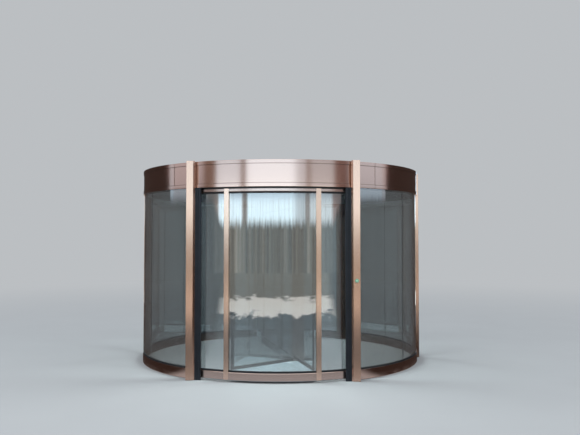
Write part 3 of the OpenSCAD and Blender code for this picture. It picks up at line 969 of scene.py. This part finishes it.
@dataclass
class Leaf:
    """One sliding leaf: a rebated frame, its pane, and the gaskets that hold the pane."""

    finishes: Finishes
    place: LeafPlace
    edge_mm: float = 1.0
    rebate_w: float = 12.0 * MM
    rebate_t: float = 6.0 * MM
    lap: float = 4.0 * MM
    clear: float = 0.3 * MM
    brow_depth: float = 1.2 * MM
    crown_depth: float = 0.4 * MM
    lip_depth: float = 0.6 * MM

    @property
    def body(self) -> str:
        """The body that the leaf rides on."""
        return self.place.value

    def axes(self) -> tuple[Vector, Vector]:
        """Reads the leaf's directions from its joint.

        Returns:
            The direction along the leaf, as its slide runs, and the one across it.
        """
        slide = next(joint for joint in frame["joints"] if joint["child"] == self.body)
        along = Vector(slide["axis"]).normalized()
        return along, UP.cross(along)

    @staticmethod
    def span(node: str, direction: Vector) -> Span:
        """Returns how far a node reaches along a direction, from its lowest to its highest."""
        reach = [vertex.co.dot(direction) for vertex in frame["nodes"][node].data.vertices]
        return min(reach), max(reach)

    def dress(self) -> None:
        """Gives the frame and the pane their finishes and adds the gaskets."""
        # The leaf frame takes the darker bronze, whose colour is painted shade.
        self.finishes.soften(f"{self.body}_frame", "bronze_wing_painted_shade", self.edge_mm)
        self.finishes.glaze(f"{self.body}_glass", "rotor_glass")
        self._gaskets()

    def _gaskets(self) -> None:
        """Adds the rubber gaskets in the rebates, one ring on each face."""
        along, across = self.axes()
        pane = f"{self.body}_glass"
        left, right = self.span(pane, along)
        foot, head = self.span(pane, UP)
        panes = self.span(pane, across)
        faces = self.span(f"{self.body}_frame", across)
        draft = MeshDraft()
        for side, glass, face in zip((-1, 1), panes, faces):
            loops = []
            for inset, v in self._outline(side, glass, face):
                corners = [
                    (left + inset, foot + inset), (right - inset, foot + inset),
                    (right - inset, head - inset), (left + inset, head - inset),
                ]
                loops.append([along * u + across * v + UP * z for u, z in corners])
            draft.add_loops(loops, closed=True)
        gasket = draft.make(f"{self.body}_gaskets", self.finishes.made["seal_rubber"])
        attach(gasket, self.body)

    def _outline(self, side: int, glass: float, face: float) -> list[Span]:
        """Draws a gasket's cross-section.

        Args:
            side: 1 on the face that lies further along the direction across the leaf, otherwise -1.
            glass: Where the pane's face lies in that direction.
            face: Where the frame's face lies.

        Returns:
            Its corners, as insets from the pane's edge and places across the leaf.
        """
        floor = glass + side * self.clear
        shelf = face - side * (self.rebate_t - self.clear)
        brow = face - side * self.brow_depth
        return [
            (-self.rebate_w + self.clear, shelf),
            (-self.rebate_w + self.clear, brow),
            (-self.rebate_w * 0.7, face - side * self.crown_depth),
            (0.0, face - side * self.lip_depth),
            (self.lap * 0.7, brow),
            (self.lap, shelf),
            (self.lap * 0.8, floor),
            (self.clear, floor),
            (self.clear, shelf),
        ]


@dataclass(frozen=True)
class Stop:
    """One stop of a tone scale: where it lies, and the light that comes from there."""

    place: float
    light: Colour


@dataclass(frozen=True)
class ToneScale:
    """Light along one measure, such as a bearing in degrees or a distance in metres."""

    low: float
    high: float
    stops: tuple[Stop, ...]

    @property
    def peak(self) -> float:
        """The brightest channel of any stop."""
        return max(max(stop.light) for stop in self.stops)

    def read(self, tree: ShaderTree, measure: Wire) -> Wire:
        """Reads the light at a measure.

        Args:
            tree: The tree to write in.
            measure: The wire that carries the measure.

        Returns:
            The light, as a colour.
        """
        span = self.high - self.low
        stops = []
        for stop in self.stops:
            stops.append(((stop.place - self.low) / span, tuple(c / self.peak for c in stop.light)))
        scaled = (measure - self.low) / span
        colour = tree.node("ShaderNodeValToRGB", {"stops": stops}, {"Fac": scaled})["Color"]
        return tree.scaled(colour, self.peak)


def bands(*spans: tuple[float, float, Colour]) -> tuple[Stop, ...]:
    """Returns two stops for each span of even light, given as its start, its end and its light."""
    return tuple(stop for start, end, light in spans for stop in (Stop(start, light), Stop(end, light)))


SIDE_DARK: Colour = (0.046, 0.031, 0.027)
UPPER_TONES = ToneScale(-90.0, 90.0, bands(
    (-90.0, -60.0, (0.66, 0.68, 0.76)),
    (-56.0, -48.0, (0.27, 0.2, 0.17)),
    (-46.0, -28.0, (0.94, 1.2, 1.44)),
    (-26.3, -23.7, (0.3, 0.26, 0.25)),
    (-22.0, 12.0, (1.34, 1.74, 2.08)),
    (17.0, 21.5, (0.8, 0.98, 1.16)),
    (22.8, 25.2, (0.38, 0.36, 0.37)),
    (26.5, 43.0, (0.64, 0.75, 0.86)),
    (45.5, 55.0, (0.24, 0.165, 0.155)),
    (60.0, 90.0, (0.76, 0.9, 1.06)),
))
LOWER_TONES = ToneScale(-90.0, 90.0, bands(
    (-90.0, -52.0, SIDE_DARK),
    (-46.0, -37.0, (0.2, 0.19, 0.17)),
    (-34.0, -27.0, (0.54, 0.49, 0.4)),
    (-23.0, 22.0, (0.35, 0.325, 0.275)),
    (26.0, 34.0, (0.54, 0.49, 0.4)),
    (37.0, 44.0, (0.22, 0.21, 0.19)),
    (50.0, 90.0, SIDE_DARK),
))
GROUND_TONES = ToneScale(0.0, 27.0, (
    Stop(0.0, (0.09, 0.11, 0.12)),
    Stop(1.87, (0.09, 0.11, 0.12)),
    Stop(1.9, (0.5, 0.53, 0.57)),
    Stop(2.6, (0.34, 0.35, 0.36)),
    Stop(3.4, (0.21, 0.225, 0.24)),
    Stop(8.2, (0.16, 0.175, 0.19)),
    Stop(9.0, (1.7, 1.66, 1.56)),
    Stop(12.2, (1.6, 1.53, 1.4)),
    Stop(13.6, (0.34, 0.31, 0.255)),
    Stop(27.0, (0.36, 0.335, 0.28)),
))
CARD_TONES = ToneScale(1.9, 12.0, (
    Stop(1.98, (0.03, 0.02, 0.018)),
    Stop(2.3, (0.16, 0.15, 0.17)),
    Stop(3.2, (0.15, 0.14, 0.155)),
    Stop(3.8, (0.04, 0.024, 0.02)),
    Stop(7.5, (0.05, 0.028, 0.023)),
    Stop(9.5, (0.17, 0.09, 0.08)),
    Stop(12.0, (0.17, 0.09, 0.08)),
))


@dataclass
class Surroundings:
    """Painted reflections for the door: a ring, bright above and warm below, a ground, and two dim cards
    beside it.

    Each piece glows softly in reflections and is hidden from every other ray. A reflection from the rear half
    meets the same tones as one from the front half, turned about the drum axis.
    """

    ring_radius: float = 27.0
    ring_top: float = 12.0
    ground_near: float = 0.2
    ground_z: float = 0.006
    ragged_per_m: float = 0.62
    ragged_from: Span = (4.0, 9.0)
    ragged_by: float = 7.0
    card_near: float = 1.98
    card_far: float = 12.0
    card_top: float = 7.0
    card_split: Span = (2.9, 3.5)
    skyline: float = 2.5
    skyline_side: float = 3.7
    skyline_soft: float = 0.35
    skyline_rise: float = 1.1
    side_deg: Span = (44.0, 54.0)
    ground_side_deg: Span = (37.0, 46.0)
    haze_heights: Span = (4.2, 3.3)
    haze_deg: Span = (23.0, 28.0)
    haze_centre: float = 1.05
    haze_aside: float = 1.9
    haze_tint: Colour = (1.0, 0.96, 0.88)
    streaks_per_deg: float = 0.55
    grain_per_deg: float = 0.23
    grain_low: float = 0.45
    threads_per_deg: float = 0.9
    thread_depth: float = 0.45
    segments: int = 96

    def build(self) -> None:
        """Builds the ring, the ground and the side cards."""
        self._ring()
        self._ground()
        for side in (-1, 1):
            self._card(side)

    @staticmethod
    def _bearing(tree: ShaderTree) -> Wire:
        """Returns the shaded point's bearing, in degrees from the front or the rear of the drum."""
        x, y, _ = tree.axes(tree.place())
        return (x / (0.0 - y)).arctangent() * (180.0 / math.pi)

    def _ring(self) -> None:
        """Stands the ring, whose skyline is broken into upright streaks."""
        name = "mirrored_ring"
        tree = ShaderTree(bpy.data.materials.new(name))
        bearing = self._bearing(tree)
        height = tree.axes(tree.place())[2]
        along = tree.node("ShaderNodeCombineXYZ", None, {"X": bearing})["Vector"]
        streak = tree.noise(along, self.streaks_per_deg, 4.0, 0.62)
        aside = bearing.size().between(*self.side_deg)
        rise = (streak - 0.5) * self.skyline_rise
        skyline = self.skyline + aside * (self.skyline_side - self.skyline) + rise
        above = (height - skyline).between(-self.skyline_soft, self.skyline_soft)
        grain = self.grain_low + tree.noise(along, self.grain_per_deg, 5.0, 0.7).between(0.34, 0.68)
        lower = tree.scaled(LOWER_TONES.read(tree, bearing), grain)
        off_centre = bearing.size().between(*self.haze_deg)
        haze = self.haze_centre + off_centre * (self.haze_aside - self.haze_centre)
        hazy = height.between(*self.haze_heights) * (1.0 - aside)
        threads = tree.noise(along, self.threads_per_deg, 3.0, 0.7).between(0.52, 0.64) * self.thread_depth
        glow = (1.0 + hazy * haze) * (1.0 - hazy * threads)
        upper = tree.scaled(UPPER_TONES.read(tree, bearing), glow)
        upper = tree.mix(hazy, upper, self.haze_tint, "MULTIPLY")
        points, faces = self._band((self.ring_radius, 0.0), (self.ring_radius, self.ring_top))
        self._stand(name, tree, tree.mix(above, lower, upper), points, faces)

    def _ground(self) -> None:
        """Lays the ground, bright at a distance before the openings and dim beside the drum."""
        name = "mirrored_ground"
        tree = ShaderTree(bpy.data.materials.new(name))
        ragged = tree.noise(tree.place(), self.ragged_per_m, 4.0, 0.6) - 0.5
        distance = tree.from_axis()
        distance = distance + ragged * distance.between(*self.ragged_from) * self.ragged_by
        aside = self._bearing(tree).size().between(*self.ground_side_deg)
        light = tree.mix(aside, GROUND_TONES.read(tree, distance), SIDE_DARK)
        points, faces = self._band((self.ring_radius, self.ground_z), (self.ground_near, self.ground_z))
        self._stand(name, tree, light, points, faces)

    def _card(self, side: int) -> None:
        """Stands a flat dim card beside the drum.

        Args:
            side: -1 for the left, 1 for the right.
        """
        name = f"mirrored_facade_{'left' if side < 0 else 'right'}"
        tree = ShaderTree(bpy.data.materials.new(name))
        x, _, height = tree.axes(tree.place())
        light = tree.mix(height.between(*self.card_split), SIDE_DARK, CARD_TONES.read(tree, x.size()))
        near, far = side * self.card_near, side * self.card_far
        corners = [(near, 0.0), (far, 0.0), (far, self.card_top), (near, self.card_top)]
        self._stand(name, tree, light, [Vector((u, 0.0, z)) for u, z in corners], [(0, 1, 2, 3)])

    def _band(self, first: Span, second: Span) -> tuple[list[Vector], list[Face]]:
        """Lays out a closed band between two circles.

        Args:
            first: Radius and height of one circle.
            second: Radius and height of the other.

        Returns:
            The band's points and faces.
        """
        angles = [2 * math.pi * k / self.segments for k in range(self.segments)]
        points = [ring_point(radius, angle, z) for angle in angles for radius, z in (first, second)]
        count = len(points)
        return points, [(k, (k + 2) % count, (k + 3) % count, k + 1) for k in range(0, count, 2)]

    @staticmethod
    def _stand(name: str, tree: ShaderTree, light: Wire, points: list[Vector], faces: list[Face]) -> None:
        """Makes one glowing piece that only reflections see.

        Args:
            name: Its name.
            tree: The material's tree.
            light: The light that it gives.
            points: Its points.
            faces: Its faces.
        """
        tree.surface(tree.glow(light))
        card = MeshDraft(points, faces).make(name, tree.owner)
        hide_from(card, "camera", "transmission", "diffuse", "shadow")


@dataclass(frozen=True)
class Lamp:
    """One rectangular soft lamp, which nothing mirrors."""

    name: str
    place: Point
    target: Point
    size: Span
    watts: float

    def hang(self) -> None:
        """Hangs the lamp."""
        data = bpy.data.lights.new(self.name, "AREA")
        data.shape = "RECTANGLE"
        data.size, data.size_y = self.size
        data.energy = self.watts
        lamp = bpy.data.objects.new(self.name, data)
        lamp.location = self.place
        lamp.rotation_euler = (Vector(self.target) - Vector(self.place)).to_track_quat("-Z", "Y").to_euler()
        hide_from(lamp, "camera", "glossy", "transmission")
        bpy.context.scene.collection.objects.link(lamp)


@dataclass
class Studio:
    """Pale floor, pale backdrop, soft lamps and the surroundings that the door mirrors.

    Two lamps stand before the door, and three hang under the ceiling of the drum.
    """

    floor_rings: tuple[float, ...] = (2.0, 4.0, 9.0, 20.0, 40.0, 80.0)
    floor_segments: int = 64
    fade_start: float = 3.5
    fade_end: float = 18.0
    floor: Colour = (0.34, 0.353, 0.362)
    horizon: Colour = (0.50, 0.52, 0.54)
    zenith: Colour = (1.5, 1.55, 1.62)
    zenith_rise: Span = (0.34, 0.75)
    lamps: tuple[Lamp, ...] = (
        Lamp("key_lamp", (-5.0, -9.0, 6.5), (0.0, 0.0, 1.0), (5.0, 4.0), 320.0),
        Lamp("fill_lamp", (7.0, -7.0, 4.5), (0.0, 0.0, 1.0), (4.0, 4.0), 120.0),
        Lamp("drum_lamp", (0.0, 0.0, 2.2), (0.0, 0.0, 0.0), (2.4, 2.4), 58.0),
        Lamp("showcase_lamp_-1", (0.0, -1.45, 2.2), (0.0, -1.45, 0.0), (1.2, 0.5), 70.0),
        Lamp("showcase_lamp_1", (0.0, 1.45, 2.2), (0.0, 1.45, 0.0), (1.2, 0.5), 70.0),
    )

    def build(self) -> None:
        """Builds the whole studio."""
        self._world()
        self._floor()
        for lamp in self.lamps:
            lamp.hang()
        Surroundings().build()

    def _world(self) -> None:
        """Sets a pale dome that is a little bluer overhead."""
        world = bpy.data.worlds.new("studio")
        bpy.context.scene.world = world
        tree = ShaderTree(world)
        direction = tree.node("ShaderNodeTexCoord")["Generated"]
        rise = tree.axes(direction)[2].between(*self.zenith_rise)
        colour = tree.mix(rise, self.horizon, self.zenith)
        backdrop = tree.node("ShaderNodeBackground", None, {"Color": colour, "Strength": 1.0})["Background"]
        tree.node("ShaderNodeOutputWorld", None, {"Surface": backdrop})

    def _floor(self) -> None:
        """Lays a round floor that fades into the surroundings far from the door."""
        material = bpy.data.materials.new("studio_floor")
        tree = ShaderTree(material)
        fade = tree.from_axis().between(self.fade_start, self.fade_end)
        cloud = tree.noise(tree.place(), 1.4, 4.0)
        tone = tree.mix(cloud.between(0.3, 0.7) * 0.25, self.floor, tuple(c * 0.93 for c in self.floor))
        matt = tree.node("ShaderNodeBsdfDiffuse", None, {"Color": tone})["BSDF"]
        tree.surface(tree.blend(fade, matt, tree.glow(self.horizon)))
        segments = self.floor_segments
        points = [Vector((0.0, 0.0, 0.0))]
        for radius in self.floor_rings:
            points += [ring_point(radius, 2 * math.pi * k / segments, 0.0) for k in range(segments)]
        faces = [(0, 1 + k, 1 + (k + 1) % segments) for k in range(segments)]
        for row in range(len(self.floor_rings) - 1):
            here, there = 1 + row * segments, 1 + (row + 1) * segments
            for k in range(segments):
                after = (k + 1) % segments
                faces.append((here + k, there + k, there + after, here + after))
        draft = MeshDraft(points, faces)
        draft.make("studio_floor", material)


@dataclass
class PhotoCamera:
    """The camera at the photograph's viewing angle."""

    place: Point = (0.497, -9.445, 1.627)
    pitch: float = 0.0339
    turn_left: float = 0.0383
    lens_mm: float = 41.37
    sensor_mm: float = 36.0
    clip_end: float = 500.0

    def build(self) -> None:
        """Builds the camera and makes it the scene's."""
        data = bpy.data.cameras.new("photo_camera")
        data.lens = self.lens_mm
        data.sensor_width = self.sensor_mm
        data.dof.use_dof = False
        data.clip_end = self.clip_end
        camera = bpy.data.objects.new("photo_camera", data)
        camera.location = self.place
        camera.rotation_euler = (math.pi / 2 + self.pitch, 0.0, self.turn_left)
        bpy.context.scene.collection.objects.link(camera)
        bpy.context.scene.camera = camera


def set_render_rules() -> None:
    """Sets the plain view transform and the light paths that layered glass needs."""
    scene = bpy.context.scene
    scene.view_settings.view_transform = "Standard"
    scene.cycles.max_bounces = 20
    scene.cycles.transmission_bounces = 18
    scene.cycles.transparent_max_bounces = 24
    scene.cycles.caustics_refractive = False
    scene.cycles.caustics_reflective = False


def main() -> None:
    """Builds the camera, the studio, the finishes and every sub-assembly in order."""
    logging.basicConfig(level=logging.INFO, format="%(name)s: %(message)s")
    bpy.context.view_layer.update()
    set_render_rules()
    PhotoCamera().build()
    Studio().build()
    finishes = Finishes()
    finishes.build()
    Drum(finishes).dress()
    RoofJoints(finishes).build()
    Rotor(finishes).dress()
    ShowcaseShoes(finishes).build()
    Brushes(finishes).build()
    for place in LeafPlace:
        Leaf(finishes, place).dress()


if __name__ == "__main__":
    main()
